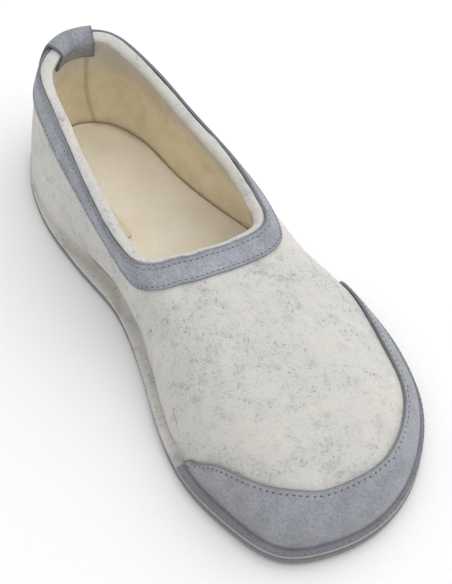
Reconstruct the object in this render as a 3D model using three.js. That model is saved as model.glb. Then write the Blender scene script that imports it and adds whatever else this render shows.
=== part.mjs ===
// A stitch-down felt slipper for the left foot, empty and standing on its sole.
// Millimetres. +Z is up, the toe points to -Y, and +X is the outer (lateral) side.
// Sizes are from the middle of the sole. The group is moved at the end so that its origin is
// on the floor under the middle of the whole shoe.
import * as THREE from "three";

// Sole.
const soleLength = 255;
const ballWidth = 111;
const outsoleThickness = 3;
const outsoleBevel = 0.8;
const toeSpring = 1.5; // how far the tip of the sole lifts off the floor
const springStart = 0.42; // share of the half length, ahead of the middle, where it starts to lift
const insoleThickness = 4;
const insoleBevel = 1;
const insolePlay = 0.6; // between the insole's edge and the felt wall

// Upper: one felt wall, turned out over the sole's edge as a welt that is sewn down.
const feltThickness = 4.8;
const rimRise = 0.9; // how far the soft collar rim rounds up over its two edges
const weltThickness = 2;
const weltWidth = 6;
const wallBulge = 5;
const bulgeRise = 16; // height over which the wall swells out above the welt
const bulgeFade = 24; // plan distance from the welt over which the swelling dies away
const turnIn = 8.3; // how far the felt's foot turns in over the heel, at its outer side
const turnInRise = 20; // height above the insole over which the turned-in felt thins away
const turnInFront = 5; // y where it starts, and where it is full
const turnInFull = 75;
const turnInInner = 0.35; // share of it that the inner side has
const instepHeight = 43.5; // of the last, at the front of the collar, above the welt
const toeRoundness = 8;
const heelRoundness = 30;

// Collar opening.
const heelLine = -6.6; // x of the heel's own centre line
const heelHeight = 58.6; // collar edge above the floor at the back
const collarLength = 125.5; // back of the collar to its straight front edge
const collarWidth = 65;
const collarBack = 124; // y of the collar edge at the back, from the middle of the sole

// Leather trim.
const leatherThickness = 1.2;
const bandWidth = 11;
const bandDrop = 0.6; // the band's upper edge below the felt's edge
const capHeight = 18; // top edge of the toe rand above the welt, at the tip
const capInnerEnd = -65; // y where the rand starts on the inner side
const capOuterEnd = -16.5;
const capEndRun = 27; // length over which the rand climbs from each end
const capSeat = 0.8; // straight foot of the rand over its turned-out edge
const capStep = 0.6; // height of the rand's cut ends over that foot
const tabWidth = 21;
const tabInsideDrop = 11;

// Sewn-in label, blank, on the insole.
const labelWidth = 13.5;
const labelLength = 19.5;
const labelThickness = 0.5;
const labelTurn = 5; // degrees
const labelAlong = 56.5; // y of its middle, from the middle of the sole
const labelMargin = 11.3; // from the inner foot of the felt wall to its middle

const gap = 0.3; // between touching pieces
const columnsPerSpot = 4;

// One row for each spot round the shoe, from the heel's back by the inner side to the toe.
// edge: the sole's edge, shares of half the ball width and half the sole length.
// welt and bulge: shares of weltWidth and wallBulge.
// collar: the collar's edge. Shares of half the collar's width from the heel line, of the
// collar's length from its back, and of the heel height.
// cap: the toe rand's top edge, share of capHeight.
const spots = {
  "heel back": { edge: [-0.115, 1], welt: 0.15, bulge: 0.2, collar: [0, 0.016, 0.99], cap: 1 },
  "inner corner": { edge: [-0.47, 0.94], welt: 0.15, bulge: 0.1, collar: [-0.41, 0.058, 0.98], cap: 1 },
  "inner heel side": { edge: [-0.69, 0.787], welt: 0.15, bulge: 0, collar: [-0.65, 0.14, 0.965], cap: 1 },
  "inner breast": { edge: [-0.785, 0.58], welt: 0.4, bulge: 0.1, collar: [-0.78, 0.335, 0.975], cap: 1 },
  "inner waist": { edge: [-0.76, 0.352], welt: 0.95, bulge: 0.6, collar: [-0.9, 0.555, 0.93], cap: 1 },
  "arch": { edge: [-0.7, 0.132], welt: 1.05, bulge: 1.1, collar: [-0.96, 0.76, 0.86], cap: 1 },
  "inner midfoot": { edge: [-0.783, -0.103], welt: 0.95, bulge: 0.8, collar: [-0.955, 0.88, 0.848], cap: 1 },
  "inner ball": { edge: [-0.913, -0.322], welt: 0.85, bulge: 0.5, collar: [-0.88, 0.947, 0.84], cap: 0.7 },
  "big toe joint": { edge: [-0.98, -0.518], welt: 0.8, bulge: 0.2, collar: [-0.68, 0.98, 0.838], cap: 0.52 },
  "big toe side": { edge: [-0.921, -0.71], welt: 0.8, bulge: 0.15, collar: [-0.44, 0.989, 0.835], cap: 0.93 },
  "big toe corner": { edge: [-0.72, -0.925], welt: 0.7, bulge: 0.3, collar: [-0.23, 1, 0.825], cap: 1.18 },
  "inner tip": { edge: [-0.335, -0.995], welt: 0.65, bulge: 0.25, collar: [-0.04, 1, 0.815], cap: 1.13 },
  "outer tip": { edge: [0.095, -0.984], welt: 0.6, bulge: 0.25, collar: [0.15, 1.002, 0.8], cap: 1.11 },
  "outer toes": { edge: [0.505, -0.885], welt: 0.6, bulge: 0.3, collar: [0.36, 1, 0.785], cap: 1.05 },
  "little toe": { edge: [0.85, -0.695], welt: 0.6, bulge: 0.35, collar: [0.58, 0.995, 0.775], cap: 0.95 },
  "little toe joint": { edge: [0.99, -0.463], welt: 0.65, bulge: 0.4, collar: [0.8, 0.98, 0.77], cap: 0.9 },
  "outer ball": { edge: [0.985, -0.228], welt: 0.6, bulge: 0.2, collar: [0.93, 0.94, 0.77], cap: 0.66 },
  "outer midfoot": { edge: [0.868, 0.023], welt: 0.75, bulge: 0.2, collar: [0.96, 0.86, 0.795], cap: 0.5 },
  "outer waist": { edge: [0.742, 0.282], welt: 0.75, bulge: 0.2, collar: [0.965, 0.7, 0.84], cap: 1 },
  "outer breast": { edge: [0.62, 0.54], welt: 0.5, bulge: 0.1, collar: [0.86, 0.475, 0.87], cap: 1 },
  "outer heel side": { edge: [0.497, 0.783], welt: 0.2, bulge: 0.1, collar: [0.775, 0.24, 0.885], cap: 1 },
  "outer corner": { edge: [0.256, 0.944], welt: 0.15, bulge: 0.3, collar: [0.53, 0.05, 0.945], cap: 1 },
};

// Cross-sections of the last, from the heel to the toe, over the welt.
// along and ridgeAcross: shares of half the sole length and half the ball width.
// ridge: share of instepHeight. Over the opening it is where the last would close.
// innerSquare and outerSquare: 2 is a round side, more is boxier, less slopes.
const sections = [
  { along: 0.98, ridge: 1.6, ridgeAcross: -0.12, innerSquare: 2.2, outerSquare: 2.2 },
  { along: 0.7, ridge: 1.8, ridgeAcross: -0.12, innerSquare: 2, outerSquare: 1.8 },
  { along: 0.4, ridge: 1.7, ridgeAcross: -0.14, innerSquare: 2.9, outerSquare: 1.6 },
  { along: 0.15, ridge: 1.3, ridgeAcross: -0.2, innerSquare: 4.6, outerSquare: 1.5 },
  { along: -0.01, ridge: 0.86, ridgeAcross: -0.22, innerSquare: 3.9, outerSquare: 1.5 },
  { along: -0.1, ridge: 0.75, ridgeAcross: -0.22, innerSquare: 3.7, outerSquare: 1.5 },
  { along: -0.25, ridge: 0.72, ridgeAcross: -0.22, innerSquare: 3.6, outerSquare: 1.55 },
  { along: -0.5, ridge: 0.68, ridgeAcross: -0.18, innerSquare: 3.5, outerSquare: 1.9 },
  { along: -0.72, ridge: 0.65, ridgeAcross: -0.14, innerSquare: 3.3, outerSquare: 2.8 },
  { along: -0.97, ridge: 0.64, ridgeAcross: -0.12, innerSquare: 3.2, outerSquare: 3.1 },
];

const spotRows = Object.values(spots);
const columns = spotRows.length * columnsPerSpot;
const halfLength = soleLength / 2;
const halfWidth = ballWidth / 2;
const weltBottom = outsoleThickness + gap;
const weltTop = weltBottom + weltThickness;
const capInside = weltTop + gap;
const capOutside = capInside + leatherThickness;

const clamp = (x, low, high) => Math.min(Math.max(x, low), high);
const smooth = (x) => clamp(x, 0, 1) ** 2 * (3 - 2 * clamp(x, 0, 1));
const range = (count, make) => Array.from({ length: count }, (_, i) => make(i));

// The place between low and high where a rising test turns false.
function solve(low, high, below) {
  for (let i = 0; i < 30; i++) {
    const middle = (low + high) / 2;
    if (below(middle)) low = middle;
    else high = middle;
  }
  return (low + high) / 2;
}

// A smooth closed curve through one value of each spot. t runs from 0 to 1 round the shoe.
function around(t, value) {
  const n = spotRows.length;
  const place = (t - Math.floor(t)) * n;
  const i = Math.floor(place);
  const f = place - i;
  const [a, b, c, d] = [-1, 0, 1, 2].map((step) => value(spotRows[(i + step + n) % n]));
  return b + (f * (c - a + f * (2 * a - 5 * b + 4 * c - d + f * (3 * (b - c) + d - a)))) / 2;
}

// A smooth curve through one column of the sections, at a share along the shoe.
function lengthwise(along, column) {
  const last = sections.length - 1;
  const x = clamp(along, sections[last].along, sections[0].along);
  let i = 0;
  while (i < last - 1 && x < sections[i + 1].along) i++;
  const slope = (k) => {
    const from = sections[Math.max(k - 1, 0)];
    const to = sections[Math.min(k + 1, last)];
    return (to[column] - from[column]) / (to.along - from.along);
  };
  const span = sections[i + 1].along - sections[i].along;
  const f = (x - sections[i].along) / span;
  const [p, q] = [sections[i][column], sections[i + 1][column]];
  const [m, n] = [slope(i) * span, slope(i + 1) * span];
  return p + f * (m + f * (3 * (q - p) - 2 * m - n + f * (2 * (p - q) + m + n)));
}

// How far the sole has lifted off the floor at y.
function lift(y) {
  const start = -springStart * halfLength;
  return y < start ? toeSpring * ((start - y) / (halfLength + start)) ** 2 : 0;
}

function soleEdge(t) {
  const across = around(t, (row) => row.edge[0]);
  const along = around(t, (row) => row.edge[1]);
  return new THREE.Vector2(across * halfWidth, along * halfLength);
}

function outwardAt(t) {
  const step = 0.1 / columns;
  const run = soleEdge(t + step).sub(soleEdge(t - step)).normalize();
  return new THREE.Vector2(run.y, -run.x);
}

// The feather line, where the wall turns out into the welt, moved inwards by inset.
function feather(t, inset = 0) {
  const width = around(t, (row) => row.welt) * weltWidth;
  return soleEdge(t).addScaledVector(outwardAt(t), -width - inset);
}

// The feather line again as two edges, each from the heel's back to the tip.
const trace = range(720, (i) => feather(i / 720));
const backIndex = trace.reduce((best, p, i) => (p.y > trace[best].y ? i : best), 0);
const turned = [...trace.slice(backIndex), ...trace.slice(0, backIndex)];
const tipIndex = turned.reduce((best, p, i) => (p.y < turned[best].y ? i : best), 0);
const innerEdge = turned.slice(0, tipIndex + 1);
const outerEdge = [...turned.slice(tipIndex), turned[0]].reverse();
const featherMiddle = (turned[0].y + turned[tipIndex].y) / 2;
const featherHalf = (turned[0].y - turned[tipIndex].y) / 2;

function isInner(t) {
  const place = (t * 720 - backIndex + 1440) % 720;
  return place < tipIndex;
}

function edgeAt(edge, y) {
  let [low, high] = [0, edge.length - 1];
  while (high - low > 1) {
    const middle = (low + high) >> 1;
    if (edge[middle].y >= y) low = middle;
    else high = middle;
  }
  const f = clamp((edge[low].y - y) / (edge[low].y - edge[high].y || 1), 0, 1);
  return edge[low].x + (edge[high].x - edge[low].x) * f;
}

// The last is a dome drawn on a disc: reach is 1 at the heel's back and -1 at the tip,
// and across, from 0 to 1, runs over each section from the ridge to one edge.
function sectionAt(reach, sign) {
  const y = featherMiddle + reach * featherHalf;
  const along = y / halfLength;
  const ridgeX = lengthwise(along, "ridgeAcross") * halfWidth;
  const edge = sign < 0 ? innerEdge : outerEdge;
  const roundness = reach < 0 ? toeRoundness : heelRoundness;
  const ends = Math.sqrt(Math.max(0, 1 - Math.abs(reach) ** roundness));
  const ridge = lengthwise(along, "ridge") * instepHeight * ends;
  const square = lengthwise(along, sign < 0 ? "innerSquare" : "outerSquare");
  const rise = (across) => ridge * Math.sqrt(1 - across ** square);
  return { y, ridgeX, reachX: edgeAt(edge, y) - ridgeX, rise };
}

function lastPoint(disc) {
  const chord = Math.sqrt(Math.max(1e-9, 1 - disc.y * disc.y));
  const across = Math.min(Math.abs(disc.x) / chord, 1);
  const { y, ridgeX, reachX, rise } = sectionAt(disc.y, disc.x);
  return new THREE.Vector3(ridgeX + reachX * across, y, weltTop + lift(y) + rise(across));
}

// The place on the disc whose point lies straight towards a place on the collar.
function discOf(place) {
  const reach = clamp((place.y - featherMiddle) / featherHalf, -0.999, 0.985);
  const ridgeX = lengthwise(place.y / halfLength, "ridgeAcross") * halfWidth;
  const sign = place.x < ridgeX ? -1 : 1;
  const section = sectionAt(reach, sign);
  const height = place.z - weltTop - lift(place.y);
  const sideways = (place.x - ridgeX) * sign;
  const isBelow = (a) => a * section.reachX * sign * height < sideways * section.rise(a);
  const across = solve(0, 1, isBelow);
  return new THREE.Vector2(sign * across * Math.sqrt(1 - reach * reach), reach);
}

// Moves a place sideways by the swelling of the wall over the welt.
function swell(t, place, sign) {
  const foot = feather(t);
  const distance = Math.hypot(place.x - foot.x, place.y - foot.y);
  const rise = smooth((place.z - weltTop - lift(place.y)) / bulgeRise);
  const bulge = around(t, (row) => row.bulge) * wallBulge;
  const size = sign * bulge * rise * Math.exp(-((distance / bulgeFade) ** 2));
  const push = outwardAt(t).multiplyScalar(size);
  return new THREE.Vector3(place.x + push.x, place.y + push.y, place.z);
}

function collarPoint(t) {
  return new THREE.Vector3(
    heelLine + (around(t, (row) => row.collar[0]) * collarWidth) / 2,
    collarBack - around(t, (row) => row.collar[1]) * collarLength,
    around(t, (row) => row.collar[2]) * heelHeight,
  );
}

// The outside of the felt wall: up is 0 at the welt and 1 at the collar's edge.
function wallColumn(t) {
  const foot = feather(t);
  const reach = clamp((foot.y - featherMiddle) / featherHalf, -1, 1);
  const rim = new THREE.Vector2((isInner(t) ? -1 : 1) * Math.sqrt(1 - reach * reach), reach);
  const collar = collarPoint(t);
  const top = discOf(swell(t, collar, -1));
  const miss = collar.clone().sub(swell(t, lastPoint(top), 1));
  return (up) => {
    const place = swell(t, lastPoint(rim.clone().lerp(top, up * up)), 1);
    return place.addScaledVector(miss, up * up);
  };
}

// One column of the wall, with a way to stand off it by a distance, out when positive.
function column(t) {
  const step = 0.2 / columns;
  const [before, here, after] = [t - step, t, t + step].map(wallColumn);
  const normalAt = (up) => {
    const u = Math.max(up, 0.01);
    const alongWall = after(u).sub(before(u));
    const upWall = here(Math.min(u + 0.01, 1)).sub(here(u - 0.01));
    return alongWall.cross(upWall).normalize();
  };
  const off = (up, distance) => here(up).addScaledVector(normalAt(up), distance);
  const top = here(1).sub(here(0.97)).normalize();
  const lifted = (distance, rise) => off(1, distance).addScaledVector(top, rise);
  const upAt = (height) => {
    const level = weltTop + lift(feather(t).y) + height;
    return solve(0, 1, (up) => here(up).z < level);
  };
  return { t, here, off, lifted, upAt };
}

// A point over the sole's edge, moved inwards, at a level that follows the toe spring.
function overSole(place, level) {
  return new THREE.Vector3(place.x, place.y, level + lift(place.y));
}

function edgePoint(t, level, inset = 0) {
  return overSole(soleEdge(t).addScaledVector(outwardAt(t), -inset), level);
}

// Makes one closed body of points and triangles, facing outwards.
function body(points, triangles) {
  const volume = triangles.reduce((sum, [a, b, c]) => {
    return sum + points[a].dot(points[b].clone().cross(points[c]));
  }, 0);
  const facing = volume > 0 ? triangles : triangles.map(([a, b, c]) => [a, c, b]);
  const geometry = new THREE.BufferGeometry().setFromPoints(points);
  geometry.setIndex(facing.flat());
  geometry.computeVertexNormals();
  return geometry;
}

// Two triangles over four points in order, split along the shorter diagonal.
function quad(points, a, b, c, d) {
  const short = points[a].distanceTo(points[c]) < points[b].distanceTo(points[d]);
  return short ? [[a, b, c], [a, c, d]] : [[a, b, d], [b, c, d]];
}

// Joins cross-sections of equal count: a ring of them, or a run that is closed at its ends.
// In a run, each section goes out along one face and comes back along the other.
function sweep(loops, isRing) {
  const count = loops[0].length;
  const points = loops.flat();
  const triangles = [];
  for (let i = 0; i < (isRing ? loops.length : loops.length - 1); i++) {
    const here = i * count;
    const next = ((i + 1) % loops.length) * count;
    for (let k = 0; k < count; k++) {
      const m = (k + 1) % count;
      triangles.push(...quad(points, here + k, next + k, next + m, here + m));
    }
  }
  if (!isRing) {
    const last = (loops.length - 1) * count;
    for (let k = 0; k < count / 2 - 1; k++) {
      const m = count - 1 - k;
      triangles.push(...quad(points, k, k + 1, m - 1, m));
      triangles.push(...quad(points, last + m, last + m - 1, last + k + 1, last + k));
    }
  }
  return body(points, triangles);
}

// A plate under the foot. Each ring is { place(t), level }, from the bottom up, and the two
// flat faces are filled by rungs from side to side that follow the toe spring.
function plate(rings) {
  const rungShares = [0.25, 0.5, 0.75];
  const points = [];
  const triangles = [];
  for (const ring of rings) {
    points.push(...range(columns, (i) => overSole(ring.place(i / columns), ring.level)));
  }
  for (let r = 0; r + 1 < rings.length; r++) {
    for (let i = 0; i < columns; i++) {
      const [here, next] = [r * columns + i, r * columns + ((i + 1) % columns)];
      triangles.push(...quad(points, here, next, next + columns, here + columns));
    }
  }
  for (const r of [0, rings.length - 1]) {
    const start = r * columns;
    const rungs = range(columns / 2 - 1, (i) => {
      const [a, b] = [start + i + 1, start + columns - i - 1];
      const between = rungShares.map((share) => {
        const place = points[a].clone().lerp(points[b], share);
        points.push(overSole(place, rings[r].level));
        return points.length - 1;
      });
      return [a, ...between, b];
    });
    const face = [];
    for (let k = 0; k + 1 < rungs[0].length; k++) {
      face.push([start, rungs[0][k], rungs[0][k + 1]]);
      const last = rungs[rungs.length - 1];
      face.push([start + columns / 2, last[k + 1], last[k]]);
      for (let i = 0; i + 1 < rungs.length; i++) {
        const [near, far] = [rungs[i], rungs[i + 1]];
        face.push(...quad(points, near[k], far[k], far[k + 1], near[k + 1]));
      }
    }
    triangles.push(...face.map(([a, b, c]) => (r === 0 ? [a, c, b] : [a, b, c])));
  }
  return body(points, triangles);
}

// Where the toe rand starts and ends, and the two edges of the heel tab.
function edgeTime(y, low, high, isFalling) {
  return solve(low, high, (t) => (soleEdge(t).y > y) === isFalling);
}
const capStart = edgeTime(capInnerEnd, 0.2, 0.45, true);
const capEnd = edgeTime(capOuterEnd, 0.6, 0.9, false);
const tabEdge = (sign) => {
  return sign * solve(0, 0.1, (t) => Math.abs(collarPoint(sign * t).x - heelLine) < tabWidth / 2);
};

// The columns all pieces share, in runs, so that touching faces keep the same facets.
// Ease closes them up towards the two ends of a run.
function columnRun(from, to, count, ease = 0) {
  return range(count + 1, (i) => {
    const turn = (2 * Math.PI * i) / count;
    const share = i / count - (ease * Math.sin(turn)) / (2 * Math.PI);
    return column(from + (to - from) * share);
  });
}
const tabRun = columnRun(tabEdge(-1), tabEdge(1), 8);
const innerRun = columnRun(tabEdge(1), capStart, 26);
const capRun = columnRun(capStart, capEnd, 44, 0.4);
const outerRun = columnRun(capEnd, 1 + tabEdge(-1), 24);
const runs = [tabRun, innerRun, capRun, outerRun];
const ring = runs.flatMap((each) => each.slice(0, -1));

const collarEdge = range(columns * 2, (i) => {
  return new THREE.Line3(collarPoint(i / (columns * 2)), collarPoint((i + 1) / (columns * 2)));
});

// Where a column is a given distance below the collar's edge.
const nearest = new THREE.Vector3();
function belowCollar(at, distance) {
  return solve(0.2, 1, (up) => {
    const place = at.here(up);
    const isFar = (part) => part.closestPointToPoint(place, true, nearest).distanceTo(place) > distance;
    return collarEdge.every(isFar);
  });
}

// Height of the rand's top edge over the welt: it climbs in a curve from each end. The felt
// has a row of facets at that height all the way round.
const capLowest = capOutside - weltTop + capSeat;
function capRise(t) {
  const share = around(t, (row) => row.cap);
  const ends = [capStart, capEnd].map(soleEdge);
  const along = Math.min(...ends.map((end) => end.distanceTo(soleEdge(t))));
  const climb = Math.sqrt(1 - (1 - Math.min(along / capEndRun, 1)) ** 2);
  return capLowest + capStep + (capHeight * share - capLowest) * climb;
}

// Rows of a column, from the welt up: the rand's, the plain felt's and the band's.
const spread = (low, high, shares) => shares.map((share) => low + (high - low) * share);
function rowsOf(at) {
  const [bandFoot, bandTop] = [bandDrop + bandWidth, bandDrop].map((drop) => belowCollar(at, drop));
  const cap = spread(at.upAt(capLowest), at.upAt(capRise(at.t)), [0, 0.3, 0.65, 1]);
  const band = spread(bandFoot, bandTop, [0, 0.5, 1]);
  const plain = spread(cap[3], band[0], [0.25, 0.5, 0.75]);
  return { cap, plain, band };
}
for (const at of new Set([...ring, ...runs.flat()])) at.rows = rowsOf(at);

const outsole = plate([
  { place: (t) => edgePoint(t, 0, outsoleBevel), level: 0 },
  { place: (t) => edgePoint(t, 0), level: outsoleBevel },
  { place: (t) => edgePoint(t, 0), level: outsoleThickness },
]);

// The felt's foot turns in over the edge of the insole's seat, most at the heel's outer side.
const insoleTop = weltBottom + insoleThickness;
function turnInAt(t) {
  const foot = feather(t);
  const side = smooth(0.5 + (foot.x - heelLine) / ballWidth / 0.6);
  const share = turnInInner + (1 - turnInInner) * side;
  return turnIn * share * smooth((foot.y - turnInFront) / (turnInFull - turnInFront));
}

// The felt's thickness at a place up a column.
function thicknessAt(at, up) {
  const height = Math.max(0, at.here(up).z - insoleTop - lift(feather(at.t).y));
  return feltThickness + turnInAt(at.t) * Math.max(0, 1 - height / turnInRise) ** 2;
}

const insoleEdge = (t, inset = 0) => feather(t, feltThickness + turnInAt(t) + insolePlay + inset);
const insole = plate([
  { place: (t) => insoleEdge(t), level: weltBottom },
  { place: (t) => insoleEdge(t), level: insoleTop - insoleBevel },
  { place: (t) => insoleEdge(t, insoleBevel), level: insoleTop },
]);

// The felt upper: outside, rim, inside, and the welt turned out underneath.
const upper = sweep(
  ring.map((at) => {
    const { cap, plain, band } = at.rows;
    const outside = [0, ...cap, ...plain, ...band, 1];
    const inside = [...cap, ...plain, band[0], band[1], 1].reverse();
    return [
      edgePoint(at.t, weltBottom),
      edgePoint(at.t, weltTop),
      ...outside.map((up) => at.here(up)),
      at.lifted(-0.25 * feltThickness, rimRise * 0.8),
      at.lifted(-0.5 * feltThickness, rimRise),
      at.lifted(-0.75 * feltThickness, rimRise * 0.8),
      ...inside.map((up) => at.off(up, -thicknessAt(at, up))),
      overSole(feather(at.t, feltThickness + turnInAt(at.t)), weltBottom),
    ];
  }),
  true,
);

const leatherOut = gap + leatherThickness;
const collarBand = sweep(
  ring.map((at) => [
    ...at.rows.band.map((up) => at.off(up, gap)),
    ...at.rows.band.toReversed().map((up) => at.off(up, leatherOut)),
  ]),
  true,
);

const toeRand = sweep(
  capRun.map((at) => [
    edgePoint(at.t, capInside),
    overSole(feather(at.t, -gap), capInside),
    ...at.rows.cap.map((up) => at.off(up, gap)),
    ...at.rows.cap.toReversed().map((up) => at.off(up, leatherOut)),
    overSole(feather(at.t, -leatherOut), capOutside),
    edgePoint(at.t, capOutside),
  ]),
  false,
);

// The heel tab: up the outside of the band, over the rim, and down the inside.
const tabOutside = leatherOut + gap;
const tabInside = -feltThickness - gap;
const tabClearance = 0.4; // of the fold over the felt's rim
const foldSteps = range(5, (i) => (Math.PI * (i + 1)) / 6);
function tabFace(at, extra) {
  const middle = (tabOutside + tabInside) / 2;
  const half = (tabOutside - tabInside) / 2 + extra;
  const height = rimRise + tabClearance + extra;
  const inside = [1, at.rows.band[1], belowCollar(at, tabInsideDrop)];
  return [
    ...[...at.rows.band, 1].map((up) => at.off(up, tabOutside + extra)),
    ...foldSteps.map((a) => at.lifted(middle + half * Math.cos(a), height * Math.sin(a))),
    ...inside.map((up) => at.off(up, tabInside - extra)),
  ];
}
const heelTab = sweep(
  tabRun.map((at) => [...tabFace(at, 0), ...tabFace(at, leatherThickness).reverse()]),
  false,
);

const label = new THREE.BoxGeometry(labelWidth, labelLength, labelThickness);
label.rotateZ((labelTurn * Math.PI) / 180);
const labelLevel = insoleTop + gap + labelThickness / 2;
const labelAcross = edgeAt(innerEdge, labelAlong) + feltThickness + labelMargin;
label.translate(labelAcross, labelAlong, labelLevel);

const pieces = [
  { name: "outsole", geometry: outsole, color: "#a9a9a8", roughness: 0.8 },
  { name: "insole", geometry: insole, color: "#cdc2ab", roughness: 0.95 },
  { name: "upper", geometry: upper, color: "#c9c8c3", roughness: 0.95 },
  { name: "toe_rand", geometry: toeRand, color: "#9698a0", roughness: 0.6 },
  { name: "collar_band", geometry: collarBand, color: "#9698a0", roughness: 0.6 },
  { name: "heel_tab", geometry: heelTab, color: "#8f9198", roughness: 0.6 },
  { name: "label", geometry: label, color: "#d8cdb4", roughness: 0.9 },
];

// Moves everything so that the origin is under the middle of the whole shoe.
const bounds = new THREE.Box3();
for (const { geometry } of pieces) {
  geometry.computeBoundingBox();
  bounds.union(geometry.boundingBox);
}
const middle = bounds.getCenter(new THREE.Vector3());

const group = new THREE.Group();
group.name = "felt_slipper";
for (const { name, geometry, color, roughness } of pieces) {
  geometry.translate(-middle.x, -middle.y, 0);
  const material = new THREE.MeshStandardMaterial({ color, roughness, metalness: 0 });
  const mesh = new THREE.Mesh(geometry, material);
  mesh.name = name;
  group.add(mesh);
}

export default group;
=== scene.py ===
"""A left felt slipper: the looks of its felt, leather, lining, sole and stitching.

Metres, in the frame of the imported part: +Z is up, the toe points to -Y, and +X is the outer side.
"""

import math
import random

import bmesh
import bpy
from mathutils import Matrix, Vector, noise
from mathutils.bvhtree import BVHTree
from mathutils.kdtree import KDTree


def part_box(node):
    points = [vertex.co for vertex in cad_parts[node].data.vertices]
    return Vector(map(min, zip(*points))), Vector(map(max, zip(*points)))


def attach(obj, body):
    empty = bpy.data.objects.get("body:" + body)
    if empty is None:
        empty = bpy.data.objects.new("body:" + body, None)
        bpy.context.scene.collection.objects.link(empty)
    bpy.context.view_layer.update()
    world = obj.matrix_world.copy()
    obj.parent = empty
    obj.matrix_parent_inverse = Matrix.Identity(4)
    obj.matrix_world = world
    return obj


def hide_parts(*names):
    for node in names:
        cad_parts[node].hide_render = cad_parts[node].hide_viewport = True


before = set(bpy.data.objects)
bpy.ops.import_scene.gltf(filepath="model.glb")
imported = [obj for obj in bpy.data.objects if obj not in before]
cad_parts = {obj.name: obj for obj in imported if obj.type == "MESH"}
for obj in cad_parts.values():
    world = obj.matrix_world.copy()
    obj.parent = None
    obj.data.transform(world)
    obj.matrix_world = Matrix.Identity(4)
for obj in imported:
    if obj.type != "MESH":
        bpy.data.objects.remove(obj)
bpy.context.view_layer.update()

MM = 0.001
random.seed(17)


# Shader maths

class Channel:
    """An output of a material's node, whose arithmetic adds Math nodes."""

    def __init__(self, finish, socket):
        self.finish = finish
        self.socket = socket

    def maths(self, operation, *values):
        return self.finish.add("Math", {"operation": operation}, dict(enumerate(values)))

    def __add__(self, other):
        return self.maths("ADD", self, other)

    def __radd__(self, other):
        return self.maths("ADD", other, self)

    def __rsub__(self, other):
        return self.maths("SUBTRACT", other, self)

    def __mul__(self, other):
        return self.maths("MULTIPLY", self, other)

    def highest(self, other):
        return self.maths("MAXIMUM", self, other)

    def step(self, low, high):
        """Rises smoothly from 0 to 1 as the value goes from low to high."""
        limits = {"Value": self, "From Min": low, "From Max": high}
        return self.finish.add("MapRange", {"interpolation_type": "SMOOTHSTEP"}, limits)


# A Mix node's sockets for colours go by number, because its socket names repeat.
MIX_AMOUNT = 0
MIX_LOW = 6
MIX_HIGH = 7
MIX_RESULT = 2


class Finish:
    """One procedural material. Sizes of its patterns are in metres on the shoe."""

    def __init__(self, name, **constants):
        self.material = bpy.data.materials.new(name)
        self.material.use_nodes = True
        self.tree = self.material.node_tree
        self.tree.nodes.clear()
        self.shader = self.tree.nodes.new("ShaderNodeBsdfPrincipled")
        output = self.tree.nodes.new("ShaderNodeOutputMaterial")
        self.tree.links.new(self.shader.outputs["BSDF"], output.inputs["Surface"])
        for socket, value in constants.items():
            self.shader.inputs[socket.replace("_", " ")].default_value = value
        self.place = self.add("TexCoord", output="Object")

    def add(self, kind, settings=None, values=None, output=0):
        node = self.tree.nodes.new("ShaderNode" + kind)
        for setting, value in (settings or {}).items():
            setattr(node, setting, value)
        for socket, value in (values or {}).items():
            self.feed(node.inputs[socket], value)
        return Channel(self, node.outputs[output])

    def feed(self, socket, value):
        if isinstance(value, Channel):
            self.tree.links.new(value.socket, socket)
        else:
            socket.default_value = value

    def cloud(self, size, detail, roughness, seed):
        """Soft noise from 0 to 1 with blotches of about that size."""
        values = {"Vector": self.place, "Scale": 1 / size, "W": seed}
        values.update({"Detail": detail, "Roughness": roughness})
        return self.add("TexNoise", {"noise_dimensions": "4D"}, values)

    def streaks(self, length, width, turn, seed):
        """Noise drawn out along one direction, as loose fibres are."""
        spread = (1 / length, 1 / width, 1 / width)
        turned = self.add("Mapping", {"vector_type": "POINT"}, {"Vector": self.place, "Rotation": turn})
        drawn = self.add("VectorMath", {"operation": "MULTIPLY"}, {0: turned, 1: spread})
        values = {"Vector": drawn, "Scale": 1.0, "Detail": 1.0, "W": seed}
        return self.add("TexNoise", {"noise_dimensions": "4D"}, values)

    def share(self, name):
        """A value painted on the mesh's points."""
        return self.add("Attribute", {"attribute_name": name}, output="Fac")

    def blend(self, amount, low, high):
        """The low colour where the amount is 0 and the high colour where it is 1."""
        values = {MIX_AMOUNT: amount, MIX_LOW: low, MIX_HIGH: high}
        return self.add("Mix", {"data_type": "RGBA"}, values, output=MIX_RESULT)

    def finish(self, colour, roughness, relief, depth):
        """Colour, roughness and a relief of that depth in metres."""
        values = {"Height": relief, "Distance": depth, "Strength": 1.0}
        bump = self.add("Bump", values=values, output="Normal")
        self.feed(self.shader.inputs["Base Color"], colour)
        self.feed(self.shader.inputs["Roughness"], roughness)
        self.feed(self.shader.inputs["Normal"], bump)
        return self.material


def linear_light(level):
    """A screen level, 0 to 255, as the light value that shaders take."""
    share = level / 255
    if level <= 10:
        return share / 12.92
    return ((share + 0.055) / 1.055) ** 2.4


def paint(red, green, blue):
    """A screen colour with full cover."""
    return (linear_light(red), linear_light(green), linear_light(blue), 1.0)


def shifted(tint, levels):
    """A tint made lighter by that many screen levels, or darker where they are below 0."""
    return paint(*(c + levels for c in tint))


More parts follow.
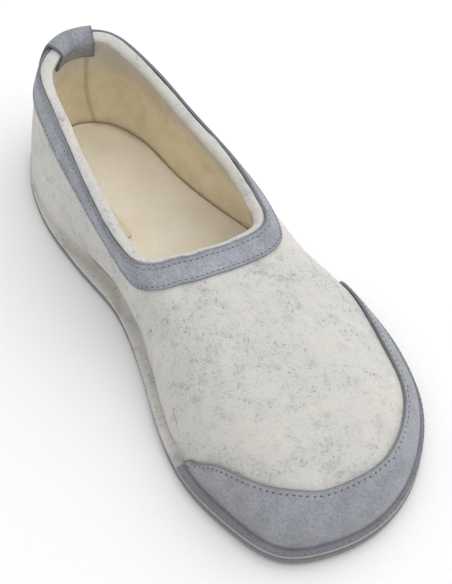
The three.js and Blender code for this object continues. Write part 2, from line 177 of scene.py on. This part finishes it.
def felt_finish():
    """Grey-flecked wool felt outside, plain cream wool at the rim and inside."""
    felt = Finish("wool_felt", Sheen_Weight=0.15, Sheen_Roughness=0.6, Specular_IOR_Level=0.15)
    inside = felt.share("inside")
    deep = felt.share("deep")
    # The fold share is painted shade in the fold at the arch and in the seam inside the heel.
    fold = felt.share("fold")
    # The edge share is painted shade on the felt's cut edge under the leather towards the toe.
    edge = felt.share("edge")

    clumps = felt.cloud(9 * MM, 3.0, 0.6, 1.0)
    patches = felt.cloud(26 * MM, 3.0, 0.5, 2.0)
    dense = (clumps * 0.6 + patches * 0.4).step(0.42, 0.66)
    smudges = felt.cloud(3.2 * MM, 2.0, 0.55, 9.0).step(0.48, 0.7)
    specks = felt.cloud(1.4 * MM, 1.0, 0.4, 6.0).step(0.58, 0.72)
    fibres = felt.streaks(2.2 * MM, 0.8 * MM, (0.3, 0.2, 0.5), 3.0).step(0.58, 0.74)
    fibres = fibres.highest(felt.streaks(1.9 * MM, 0.7 * MM, (1.1, 0.4, 1.9), 4.0).step(0.58, 0.74))
    flecks = (smudges * 0.3 + specks.highest(fibres) * 0.5) * (0.25 + dense * 0.75) * (1 - inside)

    pale = felt.blend(patches.step(0.36, 0.64), paint(210, 207, 200), paint(203, 202, 197))
    wool = felt.blend(dense * 0.3, pale, paint(191, 190, 194))
    flecked = felt.blend(flecks, wool, paint(112, 112, 119))
    cream = felt.blend(clumps.step(0.35, 0.7), paint(212, 208, 201), paint(200, 197, 189))
    warm = felt.blend(clumps.step(0.3, 0.7), paint(243, 231, 203), paint(229, 215, 181))
    lining = felt.blend(deep, cream, warm)
    both = felt.blend(inside, flecked, lining)
    # The brown is painted shade in the arch fold and the heel seam.
    fold_shaded = felt.blend(fold, both, paint(128, 112, 88))
    # The grey is painted shade on the felt's cut edge at the toe, above the sole.
    colour = felt.blend(edge, fold_shaded, paint(126, 126, 126))

    nap = felt.cloud(0.9 * MM, 3.0, 0.65, 7.0)
    fluff = felt.cloud(1.6 * MM, 3.0, 0.7, 10.0) * inside
    relief = nap * 0.5 + felt.cloud(3.5 * MM, 2.0, 0.5, 8.0) * 0.6 + fluff * 0.9
    return felt.finish(colour, 0.9 + nap * 0.1, relief, 0.6 * MM)


def leather_finish(name, tint, speckle, grain_depth):
    """Brushed grey leather with darker cut edges."""
    leather = Finish(name, Sheen_Weight=0.1, Sheen_Roughness=0.5, Specular_IOR_Level=0.25)
    cut = leather.share("cut")
    blotches = leather.cloud(10 * MM, 3.0, 0.55, 1.0)
    nap = leather.cloud(0.9 * MM, 3.0, 0.7, 2.0)
    pores = leather.cloud(1.3 * MM, 2.0, 0.6, 3.0).step(0.5, 0.72)
    hairs = leather.streaks(2.4 * MM, 0.5 * MM, (0.4, 0.9, 0.7), 4.0).step(0.52, 0.72)
    light = shifted(tint, 9 + speckle)
    dark = shifted(tint, -9 - speckle)
    brushed = leather.blend((blotches * 0.4 + nap * 0.6).step(0.36, 0.64), dark, light)
    speckled = leather.blend(pores * 0.4, brushed, shifted(tint, -26 - speckle))
    napped = leather.blend(hairs * 0.3, speckled, shifted(tint, 26))
    # The cut share darkens the cut edges, and on the rand it also carries painted shade in the crease
    # above the welt.
    colour = leather.blend(cut, napped, paint(96, 98, 103))
    relief = nap * 0.7 + pores * -0.3 + blotches * 0.3
    return leather.finish(colour, 0.66 + nap * 0.2 + cut * 0.1, relief, grain_depth)


def sole_finish():
    """A grey sole sheet, slightly scuffed underneath."""
    sole = Finish("sole_sheet", Specular_IOR_Level=0.25)
    grain = sole.cloud(1.1 * MM, 3.0, 0.6, 1.0)
    scuffs = sole.streaks(14 * MM, 1.4 * MM, (0.0, 0.0, 1.4), 2.0).step(0.55, 0.8)
    colour = sole.blend(grain, paint(118, 119, 122), paint(146, 147, 149))
    worn = sole.blend(scuffs * 0.3, colour, paint(164, 164, 164))
    return sole.finish(worn, 0.7 + grain * 0.2, grain + scuffs * -0.3, 0.25 * MM)


def bed_finish():
    """The soft cream sheet under the foot."""
    bed = Finish("foot_bed_wool", Sheen_Weight=0.15, Sheen_Roughness=0.6, Specular_IOR_Level=0.15)
    crease = bed.share("fold")
    clouds = bed.cloud(17 * MM, 3.0, 0.5, 1.0)
    nap = bed.cloud(0.8 * MM, 3.0, 0.65, 2.0)
    hairs = bed.streaks(4 * MM, 0.5 * MM, (0.2, 0.3, 0.8), 3.0).step(0.56, 0.76)
    wool = bed.blend(clouds.step(0.35, 0.68), paint(247, 239, 224), paint(240, 230, 212))
    haired = bed.blend(hairs * 0.3, wool, paint(216, 202, 176))
    # The brown is painted shade where the bed meets the felt wall, strongest beside the heel's seam.
    colour = bed.blend(crease, haired, paint(176, 158, 124))
    return bed.finish(colour, 0.9 + nap * 0.1, nap * 0.6 + hairs * 0.3 + clouds * 0.8, 0.4 * MM)


def label_finish():
    """Blank woven ribbon."""
    ribbon = Finish("blank_ribbon", Sheen_Weight=0.1, Specular_IOR_Level=0.25)
    across = ribbon.streaks(6 * MM, 0.35 * MM, (0.0, 0.0, 0.09), 1.0)
    along = ribbon.streaks(6 * MM, 0.35 * MM, (0.0, 0.0, 1.66), 2.0)
    colour = ribbon.blend(across, paint(218, 207, 174), paint(230, 221, 192))
    return ribbon.finish(colour, 0.75 + along * 0.15, across * 0.5 + along * 0.5, 0.12 * MM)


def thread_finish(name, tint):
    """Twisted sewing thread."""
    thread = Finish(name, Sheen_Weight=0.1, Specular_IOR_Level=0.25)
    twist = thread.cloud(0.35 * MM, 2.0, 0.6, 1.0)
    colour = thread.blend(twist, paint(*tint), shifted(tint, 24))
    return thread.finish(colour, 0.7 + twist * 0.2, twist, 0.08 * MM)


# Meshes made from the part's solids

WELD = 0.002 * MM
CREASE = 0.85


def welded(node):
    """A solid of the part with its corners joined and its triangles paired."""
    mesh = bmesh.new()
    mesh.from_mesh(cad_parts[node].data)
    bmesh.ops.remove_doubles(mesh, verts=mesh.verts, dist=WELD)
    limits = {"angle_face_threshold": math.radians(40), "angle_shape_threshold": math.radians(180)}
    bmesh.ops.join_triangles(mesh, faces=mesh.faces, **limits)
    mesh.verts.index_update()
    mesh.edges.index_update()
    mesh.edges.ensure_lookup_table()
    return mesh


def is_sharp(edge, limit):
    return len(edge.link_faces) == 2 and edge.calc_face_angle() > limit


def sharp_lines(node, degrees):
    """The sharp edges of a solid as lines from corner to corner, longest first."""
    mesh = welded(node)
    limit = math.radians(degrees)
    sharp = [edge for edge in mesh.edges if is_sharp(edge, limit)]
    meeting = {}
    for edge in sharp:
        for vert in edge.verts:
            meeting.setdefault(vert.index, []).append(edge)
    unused = {edge.index for edge in sharp}
    lines = []

    def walk(vert, edge):
        line = [vert.co.copy()]
        while edge.index in unused:
            unused.remove(edge.index)
            vert = edge.other_vert(vert)
            line.append(vert.co.copy())
            around = meeting[vert.index]
            if len(around) != 2:
                break
            edge = around[0] if around[1] is edge else around[1]
        lines.append(line)

    corners = [e for e in sharp if any(len(meeting[v.index]) != 2 for v in e.verts)]
    for edge in corners + sharp:
        for vert in edge.verts:
            if edge.index in unused and (edge in corners) == (len(meeting[vert.index]) != 2):
                walk(vert, edge)
    mesh.free()
    return sorted(lines, key=length_of, reverse=True)


def length_of(line):
    return sum((b - a).length for a, b in zip(line, line[1:]))


def mean(line):
    return sum(line, Vector()) / len(line)


def refined(name, node, levels, crease_degrees, finish):
    """A smooth, finer copy of a solid that stands for it."""
    mesh = welded(node)
    limit = math.radians(crease_degrees)
    crease = mesh.edges.layers.float.new("crease_edge")
    for edge in mesh.edges:
        if is_sharp(edge, limit):
            edge[crease] = CREASE
    data = bpy.data.meshes.new(name)
    mesh.to_mesh(data)
    mesh.free()
    obj = bpy.data.objects.new(name, data)
    bpy.context.scene.collection.objects.link(obj)
    smoother = obj.modifiers.new("smooth", "SUBSURF")
    smoother.levels = levels
    smoother.render_levels = levels
    graph = bpy.context.evaluated_depsgraph_get()
    obj.data = bpy.data.meshes.new_from_object(obj.evaluated_get(graph))
    obj.modifiers.clear()
    obj.data.shade_smooth()
    obj.data.materials.clear()
    obj.data.materials.append(finish)
    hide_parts(node)
    return obj


def settle(obj):
    """Fixes a finished piece to the shoe's one body."""
    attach(obj, "root")
    return obj


def outer_tree(obj):
    """The faces of a piece that look away from the foot, for finding places on its outside."""
    mesh = obj.data
    faces = []
    for face in mesh.polygons:
        axis = axis_near(face.center)
        axis.z = 0
        if face.normal.dot(face.center - axis) > 0:
            faces.append(tuple(face.vertices))
    return BVHTree.FromPolygons([v.co for v in mesh.vertices], faces)


def points_along(line, pitch, start=0.5):
    """Points at an even pitch along a line, with the direction of travel."""
    total = length_of(line)
    count = max(2, round(total / pitch))
    found = []
    travelled = 0.0
    wanted = total / count * start
    for a, b in zip(line, line[1:]):
        step = (b - a).length
        while wanted <= travelled + step and len(found) < count:
            found.append((a.lerp(b, (wanted - travelled) / max(step, 1e-9)), (b - a).normalized()))
            wanted += total / count
        travelled += step
    return found


def kd_of_points(points):
    """A finder of the nearest of some points."""
    tree = KDTree(len(points))
    for i, point in enumerate(points):
        tree.insert(point, i)
    tree.balance()
    return tree


def kd_of(lines, pitch=1.0 * MM):
    """A finder of the nearest place on some lines."""
    return kd_of_points([point for line in lines for point, _ in points_along(line, pitch)])


def spread_share(obj, name, value):
    """Paints value(point, normal) on every point of a mesh."""
    layer = obj.data.attributes.new(name, "FLOAT", "POINT")
    layer.data.foreach_set("value", [value(v.co, v.normal) for v in obj.data.vertices])


def push(obj, distance):
    """Moves every point of a mesh along its normal by distance(point, normal)."""
    moves = [v.normal * distance(v.co, v.normal) for v in obj.data.vertices]
    for vert, move in zip(obj.data.vertices, moves):
        vert.co += move
    obj.data.update()


def rise(x, low, high):
    """Goes smoothly from 0 to 1 as x goes from low to high."""
    t = min(max((x - low) / (high - low), 0.0), 1.0)
    return t * t * (3 - 2 * t)


def bell(x, width):
    """1 at 0, and fading on both sides over about that width."""
    return math.exp(-((x / width) ** 2))


# Stitching

AT_THREADS = 0.5
AT_HOLES = 1.0


def row_beside(line, other, tree, inset, pitch, start=AT_THREADS):
    """Places of a stitch row, inset over a surface from its edge line towards the other line."""
    towards = kd_of([other])
    places = []
    for point, along in points_along(line, pitch, start):
        normal = tree.find_nearest(point)[1]
        aim = normal.cross(along).normalized()
        if aim.dot(towards.find(point)[0] - point) < 0:
            aim = -aim
        place, normal, _, _ = tree.find_nearest(point + aim * inset)
        places.append((place, normal, along))
    return places


# A stitch from end to end: the place along it as a share of its half length, then its thickness and
# its height over the surface as shares of its thickest part.
STITCH_SECTIONS = (
    (-1.0, 0.35, -0.5),
    (-0.62, 0.9, 0.1),
    (0.0, 1.0, 0.3),
    (0.62, 0.9, 0.1),
    (1.0, 0.35, -0.5),
)
STITCH_SIDES = 6
STITCH_FLATNESS = 0.75
STITCH_LEAN = 0.1
STITCH_STRETCH = (0.88, 1.08)


def stitches(name, places, length, thickness, sunk, finish):
    """One stitch of thread at each place, or, where it is short and sunk, a dark dash of painted shade
    for a needle hole.
    """
    mesh = bmesh.new()
    for place, normal, along in places:
        along = (along - normal * along.dot(normal)).normalized()
        across = normal.cross(along)
        lean = random.uniform(-STITCH_LEAN, STITCH_LEAN)
        along, across = along + across * lean, across - along * lean
        stretch = random.uniform(*STITCH_STRETCH)
        rings = []
        for step, swelling, height in STITCH_SECTIONS:
            over = height * thickness / 2 - sunk
            middle = place + along * (step * stretch * length / 2) + normal * over
            ring = []
            for k in range(STITCH_SIDES):
                angle = 2 * math.pi * k / STITCH_SIDES
                spoke = across * math.cos(angle) + normal * (STITCH_FLATNESS * math.sin(angle))
                ring.append(mesh.verts.new(middle + spoke * (swelling * thickness / 2)))
            rings.append(ring)
        for a, b in zip(rings, rings[1:]):
            for k in range(STITCH_SIDES):
                m = (k + 1) % STITCH_SIDES
                mesh.faces.new((a[k], a[m], b[m], b[k]))
        mesh.faces.new(rings[0][::-1])
        mesh.faces.new(rings[-1])
    bmesh.ops.recalc_face_normals(mesh, faces=mesh.faces)
    data = bpy.data.meshes.new(name)
    mesh.to_mesh(data)
    mesh.free()
    data.shade_smooth()
    data.materials.append(finish)
    obj = bpy.data.objects.new(name, data)
    bpy.context.scene.collection.objects.link(obj)
    return settle(obj)


def sewn_row(name, line, other, tree, inset, pitch):
    """A row of lockstitch: thread, with a dark dash of painted shade at each needle hole."""
    threads = row_beside(line, other, tree, inset, pitch)
    hole_shades = row_beside(line, other, tree, inset, pitch, AT_HOLES)
    stitches(name + "_thread", threads, pitch * 0.75, 0.4 * MM, 0.2 * MM, grey_thread)
    stitches(name + "_hole_shades", hole_shades, 0.8 * MM, 0.6 * MM, 0.26 * MM, hole_shade)
    return threads + hole_shades


# The shoe

grey_thread = thread_finish("grey_thread", (134, 137, 145))
dark_thread = thread_finish("dark_thread", (78, 80, 87))
# Painted shade inside the needle holes.
hole_shade = thread_finish("needle_hole_shade", (62, 64, 71))

# Heights and places of the part that the looks follow
foot_low, foot_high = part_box("insole")
welt_top = 5.3 * MM
spring_start = -54.4 * MM
spring_run = 74 * MM
spring = 1.5 * MM


def sprung(y):
    """How far the toe end has lifted off the floor."""
    return spring * (max(spring_start - y, 0.0) / spring_run) ** 2


def height_of(point):
    """Height above the outsole's underside, which lifts off the floor at the toe."""
    return point.z - sprung(point.y)


def axis_near(point):
    """The nearest place on a line through the hollow of the shoe."""
    y = min(max(point.y, foot_low.y + 30 * MM), foot_high.y - 30 * MM)
    x = -8 * MM * rise(y, 20 * MM, 90 * MM)
    return Vector((x, y, 14 * MM + 20 * MM * rise(y, 0, 60 * MM)))


def inside_share(point, normal):
    """1 on the felt that faces the foot, and 0 on its outside and on the welt."""
    facing = rise(-normal.dot((point - axis_near(point)).normalized()), -0.35, 0.25)
    return facing * rise(height_of(point), 6.6 * MM, 7.6 * MM)


corner_angle = 50
band_lines = sharp_lines("collar_band", corner_angle)[:4]
band_high = sorted(band_lines, key=lambda line: -mean(line).z)[:2]
band_low = [line for line in band_lines if line not in band_high]
band_top = max(band_high, key=length_of)
band_bottom = max(band_low, key=length_of)

rand_lines = [line for line in sharp_lines("toe_rand", corner_angle) if length_of(line) > 150 * MM]
rand_lines.sort(key=lambda line: -mean(line).z)
rand_top = max(rand_lines[:2], key=length_of)
rand_edge = max(rand_lines[2:], key=lambda line: length_of(line) + mean(line).z)

near_rim = kd_of([min(band_high, key=length_of)])

# The fold between the wall and the turned-out welt at the arch, on the inner side.
arch_fold = [Vector(p) * MM for p in (
    (-43, 57.5, 6.2), (-40.4, 50.5, 6.6), (-38, 44.5, 7), (-36.1, 38.5, 7.2), (-35, 32.5, 7.2),
    (-35.2, 26.5, 7), (-37, 20.5, 6.6), (-39, 14, 6.2),
)]
near_arch_fold = kd_of([arch_fold])

heel_seam_x = -0.2 * MM
heel_seam_depth = 0.45 * MM
arch_fold_depth = 0.7 * MM
welt_fullness = 1.5 * MM
fleece_depth = 0.16 * MM

upper = refined("felt_upper", "upper", 2, 38, felt_finish())


def heel_seam(point, inside):
    """1 on the seam down the inside of the heel's back."""
    return inside * bell(point.x - heel_seam_x, 0.9 * MM) * rise(point.y, 104 * MM, 110 * MM)


def welt_bulge(point):
    """The felt's fullness over its welt, on the inner side of the forefoot."""
    along = rise(-point.y, -5 * MM, 15 * MM) * (1 - rise(-point.y, 50 * MM, 62 * MM))
    swelling = bell(height_of(point) - welt_top - 3 * MM, 3 * MM)
    return welt_fullness * swelling * along * rise(-point.x, 15 * MM, 28 * MM)


def felt_relief(point, normal):
    """Soft unevenness of the felt, its fold at the arch and its seam inside the heel."""
    soft = noise.noise(point / (16 * MM)) * 0.4 * MM + noise.noise(point / (5 * MM)) * 0.15 * MM
    over_welt = rise(height_of(point), 7 * MM, 12 * MM)
    inside = inside_share(point, normal)
    seam = heel_seam(point, inside) * heel_seam_depth
    distance = near_arch_fold.find(point)[2]
    fold = arch_fold_depth * bell(distance, 2 * MM) * (1 - inside)
    fleece = noise.noise(point / (2.5 * MM)) * fleece_depth * inside
    return (soft + fleece) * over_welt + welt_bulge(point) * (1 - inside) - seam - fold


def fold_shade_share(point, normal):
    """Painted shade, brown, in the fold at the arch and in the seam inside the heel."""
    inside = inside_share(point, normal)
    distance = near_arch_fold.find(point)[2]
    brown = 0.8 * bell(distance, 1.6 * MM) * (1 - inside)
    return max(brown, 0.4 * heel_seam(point, inside))


def toe_edge_shade(point, normal):
    """Painted shade on the felt's cut edge under the leather towards the toe, darkest just above the
    sole, with a paler line on top.
    """
    height = height_of(point)
    low = 1 - rise(height, welt_top - 1.1 * MM, welt_top - 0.3 * MM)
    under_leather = 1 - rise(height, welt_top, welt_top + 0.3 * MM)
    return (0.3 + 0.65 * low) * under_leather * rise(-point.y, 0, 45 * MM)


push(upper, felt_relief)
spread_share(upper, "inside", inside_share)
spread_share(upper, "deep", lambda p, n: rise(near_rim.find(p)[2], 7 * MM, 30 * MM))
spread_share(upper, "fold", fold_shade_share)
spread_share(upper, "edge", toe_edge_shade)
settle(upper)


def groove(places, depth, width):
    """A soft trough pulled in along stitch rows."""
    row = kd_of_points([place for place, _, _ in places])
    return lambda p, n: -depth * bell(row.find(p)[2], width)


def cut_share(lines, darkness, reach):
    """The darker strip beside the leather's cut edges."""
    near = kd_of(lines, 0.8 * MM)
    return lambda p, n: darkness * (1 - rise(near.find(p)[2], 0.4 * MM, reach))


def strongest(*shares):
    """The largest of several shares at each point."""
    return lambda p, n: max(share(p, n) for share in shares)


groove_depth = 0.2 * MM
groove_width = 1.0 * MM
band_pitch = 2.4 * MM
edge_reach = 0.9 * MM

band_leather = leather_finish("band_leather", (152, 155, 163), 8, 0.25 * MM)
band = refined("band_leather", "collar_band", 3, 38, band_leather)
band_outside = outer_tree(band)
band_sewing = sewn_row("band_upper_row", band_top, band_bottom, band_outside, 2.9 * MM, band_pitch)
band_sewing += sewn_row("band_lower_row", band_bottom, band_top, band_outside, 2.0 * MM, band_pitch)
band_edges = (cut_share(band_high, 0.65, edge_reach), cut_share(band_low, 0.4, edge_reach))
spread_share(band, "cut", strongest(*band_edges))
push(band, groove(band_sewing, groove_depth, groove_width))
settle(band)

rand_leather = leather_finish("rand_leather", (150, 152, 159), 4, 0.2 * MM)
rand = refined("rand_leather", "toe_rand", 3, 38, rand_leather)
rand_outside = outer_tree(rand)
top_sewing = row_beside(rand_top, rand_edge, rand_outside, 2.9 * MM, 2.6 * MM)
edge_sewing = row_beside(rand_edge, rand_top, rand_outside, 1.7 * MM, 2.7 * MM)
stitches("rand_top_row", top_sewing, 1.4 * MM, 0.6 * MM, 0.22 * MM, dark_thread)
stitches("rand_edge_row", edge_sewing, 1.7 * MM, 0.5 * MM, 0.2 * MM, grey_thread)


def flange_dark_and_crease_shade(point, normal):
    """Darker on the part sewn down on the welt, with painted shade in the crease above it."""
    height = height_of(point) - welt_top
    return 0.25 * (1 - rise(height, 1.8 * MM, 3.5 * MM)) + 0.25 * bell(height - 2.2 * MM, 0.7 * MM)


rand_edges = (cut_share(rand_lines[:2], 0.6, edge_reach), cut_share(rand_lines[2:], 0.55, 1.6 * MM))
spread_share(rand, "cut", strongest(*rand_edges, flange_dark_and_crease_shade))
push(rand, groove(top_sewing + edge_sewing, groove_depth, groove_width))
settle(rand)

tab_leather = leather_finish("tab_leather", (143, 145, 152), 8, 0.2 * MM)
tab = refined("tab_leather", "heel_tab", 3, 38, tab_leather)
spread_share(tab, "cut", cut_share(sharp_lines("heel_tab", corner_angle), 0.7, 1.2 * MM))
settle(tab)

sole = refined("sole_sheet", "outsole", 2, 30, sole_finish())
settle(sole)

bed = refined("foot_bed", "insole", 2, 30, bed_finish())
bed_edge = kd_of([line for line in sharp_lines("insole", 30) if mean(line).z > 5 * MM])


def curl_up(obj, out, up, reach):
    """Turns the edge of the foot bed out and up against the felt wall."""
    for vert in obj.data.vertices:
        share = bell(bed_edge.find(vert.co)[2], reach)
        outward = vert.co - axis_near(vert.co)
        outward.z = 0
        vert.co += outward.normalized() * (out * share)
        vert.co.z += up * share * rise(height_of(vert.co), 4 * MM, 7 * MM)
    obj.data.update()


def bed_edge_shade(point, normal):
    """Painted shade: a faint line round the edge where it meets the felt wall, darker for a short way
    beside the heel's seam.
    """
    heel = rise(point.y, 88 * MM, 98 * MM) * rise(point.x, -5 * MM, 0)
    return (0.04 + 0.6 * heel) * bell(bed_edge.find(point)[2], 1.4 * MM)


spread_share(bed, "fold", bed_edge_shade)
curl_up(bed, 0.3 * MM, 1.6 * MM, 3 * MM)
settle(bed)

ribbon = refined("blank_label", "label", 3, 30, label_finish())
settle(ribbon)


# Studio

def studio_floor():
    """A sheet of white paper under the shoe."""
    half = 2.5
    corners = [(-half, -half, 0), (half, -half, 0), (half, half, 0), (-half, half, 0)]
    mesh = bpy.data.meshes.new("floor")
    mesh.from_pydata(corners, [], [(0, 1, 2, 3)])
    obj = bpy.data.objects.new("floor", mesh)
    bpy.context.scene.collection.objects.link(obj)
    paper = Finish("floor_paper", Specular_IOR_Level=0.1)
    tooth = paper.cloud(1.5 * MM, 2.0, 0.5, 1.0)
    colour = paper.blend(tooth, paint(246, 246, 246), paint(250, 250, 250))
    mesh.materials.append(paper.finish(colour, 0.95, tooth, 0.02 * MM))


def lamp(name, place, aim, size, watts, tint):
    data = bpy.data.lights.new(name, "AREA")
    data.shape = "DISK"
    data.size = size
    data.energy = watts
    data.color = tint
    obj = bpy.data.objects.new(name, data)
    bpy.context.scene.collection.objects.link(obj)
    obj.location = place
    obj.rotation_mode = "QUATERNION"
    obj.rotation_quaternion = (Vector(aim) - Vector(place)).to_track_quat("-Z", "Y")


def studio_air(strength):
    """Even white light from all round."""
    world = bpy.data.worlds.new("studio")
    bpy.context.scene.world = world
    world.use_nodes = True
    air = world.node_tree.nodes["Background"]
    air.inputs["Color"].default_value = (1.0, 1.0, 1.0, 1.0)
    air.inputs["Strength"].default_value = strength


def studio_camera(eye, target, up, lens):
    """The camera that took the photo, with its lens in millimetres on a 36 mm sensor."""
    data = bpy.data.cameras.new("camera")
    data.sensor_width = 36
    data.lens = lens
    obj = bpy.data.objects.new("camera", data)
    bpy.context.scene.collection.objects.link(obj)
    ahead = (Vector(target) - Vector(eye)).normalized()
    right = ahead.cross(Vector(up)).normalized()
    above = right.cross(ahead)
    turn = Matrix((right, above, -ahead)).transposed().to_4x4()
    obj.matrix_world = Matrix.Translation(eye) @ turn
    bpy.context.scene.camera = obj


bpy.context.scene.view_settings.view_transform = "Standard"
studio_floor()
lamp("softbox", (0.7, 0.12, 1.05), (0, 0, 0), 2.2, 11.5, (1.0, 1.0, 1.0))
studio_air(0.76)
eye = (-0.2716, -0.444, 0.6823)
target = (-0.0002, -0.0068, 0.0202)
upward = (0.377, 0.715, 0.588)
studio_camera(eye, target, upward, 124.7)
